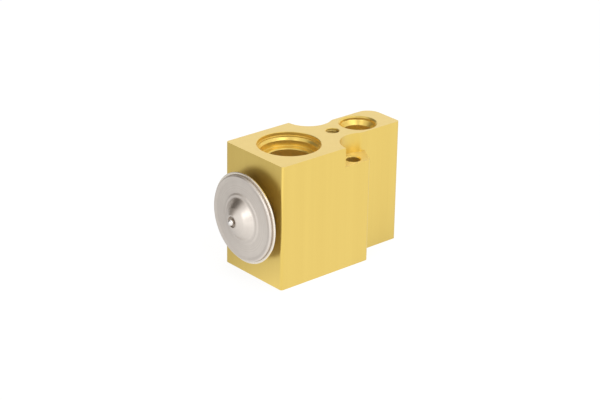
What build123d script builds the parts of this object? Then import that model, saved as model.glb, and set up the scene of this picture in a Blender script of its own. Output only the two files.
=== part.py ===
from build123d import *
import math
import os

# Block-type thermostatic expansion valve: an aluminium block with its ports up, a power element on its
# left end and a spring-loaded ball valve inside. Millimetres. The origin is on the axis of the large
# suction port, in the plane of the lower port face. +Z goes up through the ports, and +X goes from the
# power element to the adjusting screw, along the valve's own axis.

# Block
port_height = 50.0  # lower port face to upper port face
axis_above_middle = 0.4  # the valve's axis lies this much above half height
suction_from_head = 17.0  # head end face to the suction port's axis
bolts_from_suction = 21.8  # suction axis to the bolts and the stud thread, along the block
end_from_inlet = 14.1  # liquid inlet's axis to the far end face
side_wall = 4.1  # outside the seal groove round the head's socket, each side
port_wall = 1.6  # outside the small ports, each side
lug_from_bolts = 4.6  # bolt axis to the corner where the wide part ends
lug_slant = 60.0  # degrees between the lug's slanted end and the block's length
far_corner_r = 5.6  # the one rounded vertical edge at the far end
edge_r = 0.5  # the other vertical edges
edge_break = 0.3  # round the two port faces

# Suction ports, one above the other on the same passage
suction_mouth_r = 12.2
suction_mouth_depth = 1.4
suction_chamfer = 0.2
suction_step = 0.4  # ledge under the mouth
suction_cone_top = 1.9
suction_seal_r = 10.8
suction_cone_depth = 3.3
suction_seal_depth = 5.3
suction_bore_r = 8.4

# Liquid ports, inlet above and outlet below
liquid_mouth_r = 7.0
liquid_mouth_depth = 2.9
liquid_bore_r = 5.8
liquid_bore_depth = 9.0
liquid_chamfer = 0.6
inlet_passage_r = 3.2
inlet_from_seat = 3.1  # chamber floor to the inlet's axis
outlet_passage_r = 3.6
drill_point = 1.2  # height of the cone that a drill leaves

# Fastening holes
bolt_hole_r = 2.75
bolt_from_side = 4.4  # bolt axis to the wide part's side face
pocket_r = 9.6  # cutter radius of the bolt-head pockets
pocket_from_bolts = 1.8  # pocket centre beyond the bolt axis, along the block
pocket_depth = 7.8
stud_drill_r = 2.1  # tapping hole of the M5 thread
stud_chamfer = 0.7
stud_web = 8.4  # left between the stud hole and the outlet passage

# Valve axis: lengths count from the head end face into the block
socket_depth = 6.6
seal_groove_width = 1.9  # beyond the socket's radius
seal_groove_depth = 1.5
sensing_gap_r = 4.2  # open round the sensing rod between socket and suction passage
rod_guide_length = 4.8
seal_pocket_r = 2.65
seal_pocket_length = 1.8
partition = 7.0  # from the seal pocket to the outlet passage
orifice_r = 1.9
orifice_length = 2.05
seat_width = 0.55
chamber_r = 5.6
chamber_length = 11.4
screw_bore_r = 6.4

# Power element
head_r = 17.8
rim_plane = 4.7  # diaphragm's seat, out from the end face
diaphragm_thick = 0.2
back_flange = 0.7  # thickness of the back cover's flange
flange_width = 0.9  # flat ring at the back of that flange
rim_to_plate = 1.0  # the front cover's edge is this much inside the rim
weld_band = 0.5  # the diaphragm's edge lies this far inside the front cover's
front_sheet = 0.65
bead_height = 1.0  # front of the raised edge, out from the front cover's back
bead_round = 0.5
rim_to_bead = 1.7  # from the head's rim in to where the face begins to dip
rim_to_dish = 2.8  # from the head's rim in to the face's lowest ring
dish = 0.25  # depth of that ring behind the raised edge
face_rise = 0.3  # slope of the face towards the dome
rim_to_dome = 9.5  # from the head's rim in to the dome's foot
dome_ring_out = 1.6  # faint ring outside the dome's foot
dome_ring_step = 0.35
dome_shoulder = 0.66  # the dome turns over at this share of its height
dome_round = 4.0
dome_foot_round = 1.6
dome_height = 10.5  # crest of the dome, out from the end face
crest_r = 2.7
crater_r = 2.2
crater_slope = 0.3
crater_depth = 0.35
throat_chamfer = 0.25
fill_hole_r = 0.8
charge_ball_r = 1.25
rim_to_hub = 5.0  # from the head's rim in to the hub that lies on the block
hub_over_groove = 0.3  # the hub covers the seal groove by this much
back_floor = 1.2
rim_to_cup = 2.6  # from the head's rim in to the hollow under the diaphragm
cup_taper = 3.0  # the hollow is this much narrower at its floor
spigot_share = 0.8  # the neck's spigot in the back cover, as a share of the socket's radius
neck_bore_share = 0.85  # of the spigot's radius
neck_length = 6.2
neck_chamfer = 0.6
press_round = 0.3  # inside the bends of the pressed covers
soft_edge = 0.2  # on cut edges
bend_round = 0.5  # where the back cover turns out into its flange
wave_height = 0.35
wave_clearance = 0.1  # from the stop's radius to the wave

# Moving parts
stop_share = 0.83  # the stop's radius in the hollow under the diaphragm
stop_thick = 1.4
stop_round = 0.8
boss_share = 0.78  # the radius of the stop's boss in the neck's bore
stop_boss_below = 1.4  # the boss ends this far inside the end face
rod_r = 3.0
rod_into_stop = 3.0
rod_end_gap = 1.6  # from the rod's end to the bottom of its guide
pin_r = 1.15
pin_into_rod = 3.0
ball_r = 3.0
carrier_lip = 0.28  # carrier's lip, beyond the ball's centre
cup_wall = 0.97
cup_length = 2.3
carrier_flange_r = 4.6
carrier_flange = 1.0
carrier_boss_r = 2.3
carrier_boss = 1.8
strip = 0.3  # thickness of the damping ring
leg_count = 4
leg_width = 1.8
leg_length = 2.3
dimple = 0.3  # height of the bump that rubs on the chamber's wall
dimple_r = 0.6
dimple_taper = 40
wire_r = 0.45
spring_r = 2.95
spring_turns = 4.5

# Adjusting screw
screw_start = 7.6  # from the chamber's floor to the screw's nose
nose_length = 4.9
thread_length = 3.5
groove_from_nose = 1.0
groove_width = 1.5
groove_r = 4.35
spring_pocket_r = 3.6
spring_pocket_depth = 4.2
hexagon = 5.0  # across flats
hexagon_depth = 2.6
screw_chamfer = 0.5

# Seals
head_ring_section = 1.44
rod_ring_section = 1.44
adjuster_ring_section = 1.2
retainer_thick = 0.3
retainer_teeth = 6
tooth_length = 0.9
tooth_gap = 0.5

# Clearances
running = 0.05  # radial, between parts that slide or turn
thread_gap = 0.06  # radial, between a thread and its hole
seat_gap = 0.03  # between parts that touch on curved or sprung faces

# Places along the valve's axis
guide_end = suction_from_head + suction_bore_r + rod_guide_length
pocket_end = guide_end + seal_pocket_length
outlet_at = pocket_end + partition + outlet_passage_r
orifice_start = outlet_at + outlet_passage_r
seat_start = orifice_start + orifice_length
chamber_start = seat_start + seat_width
chamber_end = chamber_start + chamber_length
inlet_at = chamber_start + inlet_from_seat
block_length = inlet_at + end_from_inlet
bolts_at = suction_from_head + bolts_from_suction
lug_end = bolts_at + lug_from_bolts
axis_height = port_height / 2 + axis_above_middle

# Radii that follow from the power element's size
dome_base_r = head_r - rim_to_dome
dome_ring_r = dome_base_r + dome_ring_out
plate_r = head_r - rim_to_plate
diaphragm_r = plate_r - weld_band
cup_r = head_r - rim_to_cup
cup_floor_r = cup_r - cup_taper
back_hub_r = head_r - rim_to_hub
seal_groove_r = back_hub_r - hub_over_groove
socket_r = seal_groove_r - seal_groove_width
neck_spigot_r = spigot_share * socket_r
neck_bore_r = neck_bore_share * neck_spigot_r
stop_r = stop_share * cup_r
stop_boss_r = boss_share * neck_bore_r

# The block's half widths, from what has to fit inside them
near_half = seal_groove_r + side_wall
far_half = liquid_mouth_r + port_wall
bolt_spread = 2 * (near_half - bolt_from_side)

head_face = -suction_from_head
valve_origin = (head_face, 0, axis_height)
valve_axis = Axis(valve_origin, (1, 0, 0))

# On this plane a point is (length into the block, radius from the valve's axis).
turning_plane = Plane(origin=valve_origin, x_dir=(1, 0, 0), z_dir=(0, -1, 0))


def outline_face(plane, corners):
    """Face whose outline has the corners (x, y) or (x, y, rounding) on the plane."""
    with BuildSketch(plane) as outline:
        with BuildLine():
            Polyline(*[corner[:2] for corner in corners], close=True)
        make_face()
        for across, up, *rounding in corners:
            if rounding:
                fillet(vertices().sort_by_distance((across, up))[0], radius=rounding[0])
    return outline.sketch.face()


def turned_face(*corners):
    """Outline of (along, radius) corners that is turned round the valve's axis."""
    return outline_face(turning_plane, corners)


def ring_face(along, radius, section):
    """Round section of a seal ring."""
    with BuildSketch(turning_plane) as profile:
        with Locations((along, radius)):
            Circle(section / 2)
    return profile.sketch.face()


def block_x(along):
    """X of a place given as a length from the head end face."""
    return head_face + along


def axis_point(along):
    """Point on the valve's axis."""
    return (block_x(along), 0, axis_height)


def port_face(along, outline, upward):
    """Half section of a port beside its vertical axis: outline holds (radius, depth) pairs."""
    level = port_height if upward else 0
    sense = -1 if upward else 1
    plane = Plane(origin=(block_x(along), 0, level), x_dir=(1, 0, 0), z_dir=(0, -1, 0))
    return outline_face(plane, [(radius, sense * depth) for radius, depth in outline])


def port_axis(along):
    """Vertical axis of a port."""
    return Axis((block_x(along), 0, 0), (0, 0, 1))


# The block: its plan is drawn once and raised to the upper port face.
slant_run = (near_half - far_half) / math.tan(math.radians(lug_slant))
block_plan = [
    (block_x(0), -near_half, edge_r),
    (block_x(lug_end), -near_half, edge_r),
    (block_x(lug_end) + slant_run, -far_half, edge_r),
    (block_x(block_length), -far_half, edge_r),
    (block_x(block_length), far_half, far_corner_r),
    (block_x(lug_end) + slant_run, far_half, edge_r),
    (block_x(lug_end), near_half, edge_r),
    (block_x(0), near_half, edge_r),
]
pocket_floor = port_height - pocket_depth
pocket_x = block_x(bolts_at + pocket_from_bolts)
beyond = 2.0  # cuts run this far past an open side

suction_outline = [
    (0, -beyond),
    (suction_mouth_r + suction_chamfer, -beyond),
    (suction_mouth_r + suction_chamfer, 0),
    (suction_mouth_r, suction_chamfer),
    (suction_mouth_r, suction_mouth_depth),
    (suction_mouth_r - suction_step, suction_mouth_depth),
    (suction_mouth_r - suction_step, suction_cone_top),
    (suction_seal_r, suction_cone_depth),
    (suction_seal_r, suction_seal_depth),
    (suction_bore_r, suction_seal_depth),
    (suction_bore_r, port_height / 2),
    (0, port_height / 2),
]
liquid_top = [
    (0, -beyond),
    (liquid_mouth_r + liquid_chamfer, -beyond),
    (liquid_mouth_r + liquid_chamfer, 0),
    (liquid_mouth_r, liquid_chamfer),
    (liquid_mouth_r, liquid_mouth_depth),
    (liquid_bore_r, liquid_mouth_depth),
    (liquid_bore_r, liquid_bore_depth),
]
inlet_outline = liquid_top + [
    (inlet_passage_r, liquid_bore_depth + drill_point),
    (inlet_passage_r, port_height - axis_height),
    (0, port_height - axis_height),
]
outlet_top = axis_height + outlet_passage_r
outlet_outline = liquid_top + [
    (outlet_passage_r, liquid_bore_depth + drill_point),
    (outlet_passage_r, outlet_top),
    (0, outlet_top + drill_point),
]
stud_depth = port_height - outlet_top - stud_web
stud_outline = [
    (0, -beyond),
    (stud_drill_r + stud_chamfer, -beyond),
    (stud_drill_r + stud_chamfer, 0),
    (stud_drill_r, stud_chamfer),
    (stud_drill_r, stud_depth),
    (0, stud_depth + drill_point),
]
valve_bore = [
    (-beyond, 0),
    (-beyond, seal_groove_r),
    (seal_groove_depth, seal_groove_r),
    (seal_groove_depth, socket_r),
    (socket_depth, socket_r),
    (socket_depth, sensing_gap_r),
    (suction_from_head, sensing_gap_r),
    (suction_from_head, rod_r + running),
    (guide_end, rod_r + running),
    (guide_end, seal_pocket_r),
    (pocket_end, seal_pocket_r),
    (pocket_end, pin_r + running),
    (outlet_at, pin_r + running),
    (outlet_at, orifice_r),
    (seat_start, orifice_r),
    (chamber_start, orifice_r + seat_width),
    (chamber_start, chamber_r),
    (chamber_end, chamber_r),
    (chamber_end, screw_bore_r),
    (block_length + beyond, screw_bore_r),
    (block_length + beyond, 0),
]

with BuildPart() as valve_body:
    extrude(outline_face(Plane.XY, block_plan), amount=port_height)
    chamfer(faces().sort_by(Axis.Z)[0].edges() + faces().sort_by(Axis.Z)[-1].edges(), length=edge_break)

    # Bolt-head pockets: a round-ended cut that leaves the far part's side standing
    with BuildSketch(Plane.XY.offset(pocket_floor)):
        for side in (-1, 1):
            with Locations((pocket_x, side * near_half)):
                Circle(pocket_r)
            open_end = Align.MAX if side < 0 else Align.MIN
            with Locations((pocket_x, side * far_half)):
                Rectangle(slant_run + pocket_r, near_half, align=(Align.MIN, open_end))
    extrude(amount=pocket_depth + beyond, mode=Mode.SUBTRACT)
    with Locations((block_x(bolts_at), 0, pocket_floor)):
        with GridLocations(1, bolt_spread, 1, 2):
            Hole(bolt_hole_r)

    for upward in (True, False):
        suction_half = port_face(suction_from_head, suction_outline, upward)
        revolve(suction_half, port_axis(suction_from_head), mode=Mode.SUBTRACT)
    revolve(port_face(inlet_at, inlet_outline, True), port_axis(inlet_at), mode=Mode.SUBTRACT)
    revolve(port_face(outlet_at, outlet_outline, False), port_axis(outlet_at), mode=Mode.SUBTRACT)
    revolve(port_face(bolts_at, stud_outline, True), port_axis(bolts_at), mode=Mode.SUBTRACT)
    revolve(turned_face(*valve_bore), valve_axis, mode=Mode.SUBTRACT)

# Power element: two welded covers with the diaphragm between their rims. In its outlines, what is
# outside the block has a negative length.
rim = -rim_plane
front_seat = rim - diaphragm_thick
bead_at = front_seat - bead_height
face_at = bead_at + dish
dish_r = head_r - rim_to_dish
dome_foot = face_at - face_rise - dome_ring_step
crater_floor = crater_depth - dome_height
fill_throat = crater_floor + throat_chamfer
shoulder_at = dome_foot - dome_shoulder * (dome_height + dome_foot)
shoulder_r = (crest_r + dome_base_r) / 2
inner_fall = front_sheet / 2  # the sheet's inner line turns its corners this much nearer the axis

with BuildPart() as head_front_cover:
    revolve(
        turned_face(
            (fill_throat, fill_hole_r),
            (crater_floor, fill_hole_r + throat_chamfer),
            (crater_floor, crater_r - crater_slope),
            (-dome_height, crater_r),
            (-dome_height, crest_r, soft_edge),
            (shoulder_at, shoulder_r, dome_round),
            (dome_foot, dome_base_r, dome_foot_round),
            (dome_foot, dome_ring_r - dome_ring_step, press_round),
            (dome_foot + dome_ring_step, dome_ring_r, press_round),
            (face_at, dish_r, press_round),
            (bead_at, head_r - rim_to_bead, press_round),
            (bead_at, plate_r, bead_round),
            (front_seat, plate_r, soft_edge),
            (front_seat, dish_r + inner_fall, press_round),
            (face_at + front_sheet, dish_r - inner_fall, press_round),
            (dome_foot + dome_ring_step + front_sheet, dome_ring_r - inner_fall, press_round),
            (dome_foot + front_sheet, dome_ring_r - dome_ring_step - inner_fall, press_round),
            (dome_foot + front_sheet, dome_base_r - inner_fall, soft_edge),
            (shoulder_at + front_sheet, shoulder_r - inner_fall, front_sheet),
            (fill_throat + front_sheet, crater_r + inner_fall),
            (fill_throat + front_sheet, fill_hole_r),
        ),
        valve_axis,
    )

hub_flare = back_floor / 2
flange_back = rim + back_flange
cup_floor = -back_floor
with BuildPart() as head_back_cover:
    revolve(
        turned_face(
            (0, neck_spigot_r),
            (0, back_hub_r, press_round),
            (-hub_flare, back_hub_r + hub_flare, press_round),
            (flange_back, head_r - flange_width, bend_round),
            (flange_back, head_r, soft_edge),
            (rim, head_r, soft_edge),
            (rim, cup_r, press_round),
            (rim + back_floor, cup_r - soft_edge, press_round),
            (cup_floor, cup_floor_r),
            (cup_floor, neck_spigot_r),
        ),
        valve_axis,
    )

with BuildPart() as head_neck:
    revolve(
        turned_face(
            (cup_floor, neck_bore_r),
            (cup_floor, neck_spigot_r - seat_gap),
            (0, neck_spigot_r - seat_gap),
            (0, socket_r - thread_gap),
            (neck_length - neck_chamfer, socket_r - thread_gap),
            (neck_length, socket_r - thread_gap - neck_chamfer),
            (neck_length, neck_bore_r),
        ),
        valve_axis,
    )

# The diaphragm is flat over the stop and has one round wave between the stop and its clamped edge.
flat_r = stop_r + wave_clearance
wave_end_r = cup_r - soft_edge
wave_mid_r = (flat_r + wave_end_r) / 2
flat_level = rim + seat_gap
with BuildPart() as diaphragm:
    with BuildSketch(turning_plane) as diaphragm_section:
        with BuildLine():
            Line((flat_level, 0), (flat_level, flat_r))
            wave = ThreePointArc(
                (flat_level, flat_r), (rim + wave_height, wave_mid_r), (rim, wave_end_r))
            Line((rim, wave_end_r), (rim, diaphragm_r))
            Line((rim, diaphragm_r), (front_seat, diaphragm_r))
            Line((front_seat, diaphragm_r), (front_seat, wave_end_r))
            ThreePointArc(
                (front_seat, wave_end_r),
                (front_seat + wave_height, wave_mid_r),
                (flat_level - diaphragm_thick, flat_r),
            )
            Line((flat_level - diaphragm_thick, flat_r), (flat_level - diaphragm_thick, 0))
            Line((flat_level - diaphragm_thick, 0), (flat_level, 0))
        make_face()
    revolve(axis=valve_axis)

# The filling hole's ball rests on the cone at the bottom of the crater.
cone_apex = fill_throat + fill_hole_r
charge_ball_at = cone_apex - charge_ball_r * math.sqrt(2) - seat_gap
with BuildPart() as charge_ball:
    with Locations(axis_point(charge_ball_at)):
        Sphere(charge_ball_r)

head_ring_r = socket_r - thread_gap + seat_gap + head_ring_section / 2
with BuildPart() as head_seal_ring:
    revolve(ring_face(seal_groove_depth / 2, head_ring_r, head_ring_section), valve_axis)

# Parts that move with the diaphragm
stop_top = rim + 2 * seat_gap
rod_start = stop_boss_below - rod_into_stop
with BuildPart() as diaphragm_stop:
    revolve(
        turned_face(
            (stop_top, 0),
            (stop_top, stop_r, stop_round),
            (stop_top + stop_thick, stop_r, soft_edge),
            (stop_top + stop_thick, stop_boss_r),
            (stop_boss_below, stop_boss_r, soft_edge),
            (stop_boss_below, rod_r + running),
            (rod_start, rod_r + running),
            (rod_start, 0),
        ),
        valve_axis,
    )

rod_end = guide_end - rod_end_gap
rod_top = rod_start + seat_gap
pin_start = rod_end - pin_into_rod
with BuildPart() as sensing_rod:
    revolve(
        turned_face(
            (rod_top, 0),
            (rod_top, rod_r - soft_edge),
            (rod_top + soft_edge, rod_r),
            (rod_end - soft_edge, rod_r),
            (rod_end, rod_r - soft_edge),
            (rod_end, pin_r + running),
            (pin_start, pin_r + running),
            (pin_start, 0),
        ),
        valve_axis,
    )

# The ball touches the seat's cone, whose sides stand at 45 degrees.
seat_apex = seat_start - orifice_r
ball_at = seat_apex + ball_r * math.sqrt(2) + seat_gap
pin_end = ball_at - ball_r - seat_gap
with BuildPart() as push_rod:
    revolve(
        turned_face(
            (pin_start + seat_gap, 0),
            (pin_start + seat_gap, pin_r, soft_edge),
            (pin_end, pin_r, soft_edge),
            (pin_end, 0),
        ),
        valve_axis,
    )

with BuildPart() as valve_ball:
    with Locations(axis_point(ball_at)):
        Sphere(ball_r)

carrier_r = ball_r + cup_wall
pocket_ball_r = ball_r + seat_gap
lip_at = ball_at + carrier_lip
lip_r = math.sqrt(pocket_ball_r**2 - carrier_lip**2)
flange_at = lip_at + cup_length
carrier_back = flange_at + carrier_flange
boss_end = carrier_back + carrier_boss
with BuildPart() as ball_carrier:
    with BuildSketch(turning_plane) as carrier_section:
        with BuildLine():
            Polyline(
                (lip_at, lip_r),
                (lip_at, carrier_r),
                (flange_at, carrier_r),
                (flange_at, carrier_flange_r),
                (carrier_back, carrier_flange_r),
                (carrier_back, carrier_boss_r),
                (boss_end - soft_edge, carrier_boss_r),
                (boss_end, carrier_boss_r - soft_edge),
                (boss_end, 0),
                (ball_at + pocket_ball_r, 0),
            )
            RadiusArc((ball_at + pocket_ball_r, 0), (lip_at, lip_r), -pocket_ball_r)
        make_face()
    revolve(axis=valve_axis)

# The damping ring lies on the carrier's flange, and its legs are bent along the chamber wall.
ring_back = flange_at - seat_gap
leg_outer_r = chamber_r - 2 * running - dimple
leg_angles = [math.tau * (leg + 0.5) / leg_count for leg in range(leg_count)]


def leg_planes(radius):
    """Planes that face outwards at this radius, one for each leg, with X along the valve's axis."""
    return [
        Plane(
            origin=axis_point(ring_back - leg_length),
            x_dir=(1, 0, 0),
            z_dir=(0, math.cos(angle), math.sin(angle)),
        ).offset(radius)
        for angle in leg_angles
    ]


with BuildPart() as damping_ring:
    revolve(
        turned_face(
            (ring_back - strip, carrier_r + running),
            (ring_back - strip, leg_outer_r - strip / 2),
            (ring_back, leg_outer_r - strip / 2),
            (ring_back, carrier_r + running),
        ),
        valve_axis,
    )
    with BuildSketch(*leg_planes(leg_outer_r - strip)):
        Rectangle(leg_length, leg_width, align=(Align.MIN, Align.CENTER))
    extrude(amount=strip)
    with BuildSketch(*leg_planes(leg_outer_r)):
        with Locations((leg_width / 2, 0)):
            Circle(dimple_r)
    extrude(amount=dimple, taper=dimple_taper)

# The spring's ends are ground flat between the carrier and the screw.
screw_nose = chamber_start + screw_start
pocket_bottom = screw_nose + spring_pocket_depth
spring_start = carrier_back + seat_gap
spring_end = pocket_bottom - seat_gap
spring_length = spring_end - spring_start
with BuildPart() as valve_spring:
    with BuildLine():
        coil = Helix(
            pitch=spring_length / spring_turns,
            height=spring_length,
            radius=spring_r,
            center=axis_point(spring_start),
            direction=(1, 0, 0),
        )
    with BuildSketch(Plane(origin=coil @ 0, z_dir=coil % 0)):
        Circle(wire_r)
    sweep(path=coil, is_frenet=True)
    split(bisect_by=Plane(origin=axis_point(spring_start), z_dir=(1, 0, 0)), keep=Keep.TOP)
    split(bisect_by=Plane(origin=axis_point(spring_end), z_dir=(1, 0, 0)), keep=Keep.BOTTOM)

# Seal round the push rod, and the toothed washer that keeps it in its pocket
rod_ring_r = pin_r + seat_gap + rod_ring_section / 2
with BuildPart() as rod_seal_ring:
    rod_ring_at = pocket_end - seat_gap - rod_ring_section / 2
    revolve(ring_face(rod_ring_at, rod_ring_r, rod_ring_section), valve_axis)

retainer_back = guide_end - seat_gap
with BuildPart() as rod_seal_retainer:
    revolve(
        turned_face(
            (retainer_back - retainer_thick, pin_r + 2 * running),
            (retainer_back - retainer_thick, rod_r - running),
            (retainer_back, rod_r - running),
            (retainer_back, pin_r + 2 * running),
        ),
        valve_axis,
    )
    washer_plane = Plane(origin=axis_point(retainer_back), x_dir=(0, 1, 0), z_dir=(1, 0, 0))
    with BuildSketch(washer_plane):
        with PolarLocations(rod_r - running, retainer_teeth):
            Rectangle(2 * tooth_length, tooth_gap)
    extrude(amount=-2 * retainer_thick, mode=Mode.SUBTRACT)

# Adjusting screw: spring pocket and seal groove in its nose, hexagon socket in its outer end
nose_end = screw_nose + nose_length
screw_end = nose_end + thread_length
nose_r = chamber_r - running
groove_start = screw_nose + groove_from_nose
with BuildPart() as adjusting_screw:
    revolve(
        turned_face(
            (pocket_bottom, 0),
            (pocket_bottom, spring_pocket_r),
            (screw_nose, spring_pocket_r),
            (screw_nose, nose_r, soft_edge),
            (groove_start, nose_r),
            (groove_start, groove_r),
            (groove_start + groove_width, groove_r),
            (groove_start + groove_width, nose_r),
            (nose_end, nose_r),
            (nose_end, screw_bore_r - thread_gap - screw_chamfer),
            (nose_end + screw_chamfer, screw_bore_r - thread_gap),
            (screw_end - screw_chamfer, screw_bore_r - thread_gap),
            (screw_end, screw_bore_r - thread_gap - screw_chamfer),
            (screw_end, 0),
        ),
        valve_axis,
    )
    with BuildSketch(Plane(origin=axis_point(screw_end), x_dir=(0, 1, 0), z_dir=(1, 0, 0))):
        RegularPolygon(radius=hexagon / 2, side_count=6, major_radius=False)
    extrude(amount=-hexagon_depth, mode=Mode.SUBTRACT)

adjuster_ring_r = groove_r + seat_gap + adjuster_ring_section / 2
with BuildPart() as adjuster_seal_ring:
    adjuster_ring_at = groove_start + groove_width / 2
    revolve(ring_face(adjuster_ring_at, adjuster_ring_r, adjuster_ring_section), valve_axis)

pieces = {
    "valve_body": valve_body,
    "head_front_cover": head_front_cover,
    "head_back_cover": head_back_cover,
    "head_neck": head_neck,
    "diaphragm": diaphragm,
    "charge_ball": charge_ball,
    "head_seal_ring": head_seal_ring,
    "diaphragm_stop": diaphragm_stop,
    "sensing_rod": sensing_rod,
    "push_rod": push_rod,
    "valve_ball": valve_ball,
    "ball_carrier": ball_carrier,
    "damping_ring": damping_ring,
    "valve_spring": valve_spring,
    "rod_seal_ring": rod_seal_ring,
    "rod_seal_retainer": rod_seal_retainer,
    "adjusting_screw": adjusting_screw,
    "adjuster_seal_ring": adjuster_seal_ring,
}
os.makedirs("parts", exist_ok=True)
for name, piece in pieces.items():
    piece.part.label = name
    export_step(piece.part, f"parts/{name}.step")
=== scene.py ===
"""Looks of the block-type thermostatic expansion valve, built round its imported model.

Lengths are in millimetres in the classes and become metres where a mesh is made. The valve's own axis runs
along +X: "along" is a length from the block's head end face, "radius" is measured from that axis.
"""
import logging
import math
from dataclasses import dataclass
from enum import Enum
from typing import Callable, Sequence

import bmesh
import bpy
from bpy.types import Material, Node, NodeSocket, NodeTree, Object
from mathutils import Matrix, Vector


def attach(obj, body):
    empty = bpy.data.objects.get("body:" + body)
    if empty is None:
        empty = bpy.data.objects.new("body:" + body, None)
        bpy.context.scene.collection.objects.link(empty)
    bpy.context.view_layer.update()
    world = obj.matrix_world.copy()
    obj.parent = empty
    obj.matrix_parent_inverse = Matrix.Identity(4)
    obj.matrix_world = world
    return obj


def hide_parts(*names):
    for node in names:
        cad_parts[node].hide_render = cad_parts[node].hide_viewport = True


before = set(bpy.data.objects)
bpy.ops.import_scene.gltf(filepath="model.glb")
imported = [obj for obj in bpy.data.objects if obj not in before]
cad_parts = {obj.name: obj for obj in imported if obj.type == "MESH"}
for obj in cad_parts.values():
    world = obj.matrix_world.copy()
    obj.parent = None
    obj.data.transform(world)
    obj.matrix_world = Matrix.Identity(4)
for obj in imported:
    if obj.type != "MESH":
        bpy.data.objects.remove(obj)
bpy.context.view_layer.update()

MM = 0.001
HEAD_FACE = -17.0
AXIS_HEIGHT = 25.4
PORT_HEIGHT = 50.0
SAME_LEVEL = 0.01
SAME_POINT = 0.0005
ON_AXIS = 1e-6
LEVEL_FACE = 0.7
STRAIGHT = math.pi - 0.01
SMOOTH_UNDER = math.radians(28)
EASED_OVER = math.radians(32)
EASE_SEGMENTS = 3
HEAD_SEGMENTS = 256
SMALL_SEGMENTS = 64
NOISE_SPAN = (0.3, 0.7)
FACING_CENTRE = (-22.0, -58.0, 0.0)
FACING_FINENESS = 1500.0
RUB_ROUGHNESS = 0.12
MARK_DEPTH = 0.00002
GRAIN_DEPTH = 0.00003
Point = tuple[float, float]
Corner = tuple[float, ...]
Colour = tuple[float, float, float]
Direction = tuple[float, float, float]
Colours = tuple[Colour, Colour]
Inputs = dict[str | int, object]
log = logging.getLogger("expansion_valve")


class Cut(Enum):
    """How a surface of the block was made, which decides the marks it carries."""

    DRAWN = "drawn"
    FACED = "faced"
    TURNED = "turned"


@dataclass(frozen=True)
class TurningAxis:
    """Axis that a profile of points (length along it, radius) is turned round."""

    origin: tuple[float, float, float]
    direction: Direction

    def across(self) -> tuple[Vector, Vector]:
        """Two unit vectors square to the direction."""
        first = Vector(self.direction).orthogonal().normalized()
        return first, Vector(self.direction).cross(first)

    def frame(self) -> Matrix:
        """Matrix in metres that puts the origin here and +Z along the direction."""
        turn = Vector((0, 0, 1)).rotation_difference(Vector(self.direction)).to_matrix().to_4x4()
        return Matrix.Translation(Vector(self.origin) * MM) @ turn


def axis_from(along: float) -> TurningAxis:
    """The valve's own axis from this length on."""
    return TurningAxis((HEAD_FACE + along, 0, AXIS_HEIGHT), (1, 0, 0))


VALVE_AXIS = axis_from(0.0)


def rounded(corners: Sequence[Corner], step: float = 10.0) -> list[Point]:
    """Round the corners of a closed outline.

    Args:
        corners: (x, y) or (x, y, rounding) for each corner, in order.
        step: most degrees that one chord of an arc turns.

    Returns:
        The outline's points, with each rounding sampled as an arc.
    """
    points: list[Point] = []
    for i, corner in enumerate(corners):
        here = Vector(corner[:2])
        rounding = corner[2] if len(corner) > 2 else 0.0
        back = (Vector(corners[i - 1][:2]) - here).normalized()
        ahead = (Vector(corners[(i + 1) % len(corners)][:2]) - here).normalized()
        opening = back.angle(ahead)
        if rounding <= 0 or opening > STRAIGHT:
            points.append((here.x, here.y))
            continue
        tangent = rounding / math.tan(opening / 2)
        centre = here + (back + ahead).normalized() * (rounding / math.sin(opening / 2))
        start = here + back * tangent - centre
        sweep = start.angle_signed(here + ahead * tangent - centre)
        count = max(2, math.ceil(math.degrees(abs(sweep)) / step))
        for k in range(count + 1):
            spoke = start.copy()
            spoke.rotate(Matrix.Rotation(-sweep * k / count, 2))
            points.append((centre.x + spoke.x, centre.y + spoke.y))
    return points


def new_object(name: str, data: bpy.types.ID) -> Object:
    """Put a new object in the scene.

    Args:
        name: its name.
        data: its mesh, light or camera.

    Returns:
        The object.
    """
    obj = bpy.data.objects.new(name, data)
    bpy.context.scene.collection.objects.link(obj)
    return obj


def apply_modifiers(obj: Object) -> None:
    """Give an object the mesh that its modifiers make of it.

    Args:
        obj: the object, which then has no modifiers.
    """
    graph = bpy.context.evaluated_depsgraph_get()
    result = bpy.data.meshes.new_from_object(obj.evaluated_get(graph))
    obj.modifiers.clear()
    old, obj.data = obj.data, result
    bpy.data.meshes.remove(old)


def finished_object(name: str, mesh: bmesh.types.BMesh, material: Material) -> Object:
    """Turn a bmesh in millimetres into an object in metres.

    Args:
        name: the piece's name.
        mesh: its geometry, freed here.
        material: the finish of all its faces.

    Returns:
        The object, linked to the scene, smooth except over its sharp edges.
    """
    bmesh.ops.remove_doubles(mesh, verts=mesh.verts, dist=SAME_POINT)
    bmesh.ops.recalc_face_normals(mesh, faces=mesh.faces)
    bmesh.ops.scale(mesh, vec=(MM, MM, MM), verts=mesh.verts)
    data = bpy.data.meshes.new(name)
    mesh.to_mesh(data)
    mesh.free()
    data.materials.append(material)
    data.shade_smooth()
    data.set_sharp_from_angle(angle=SMOOTH_UNDER)
    return new_object(name, data)


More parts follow.
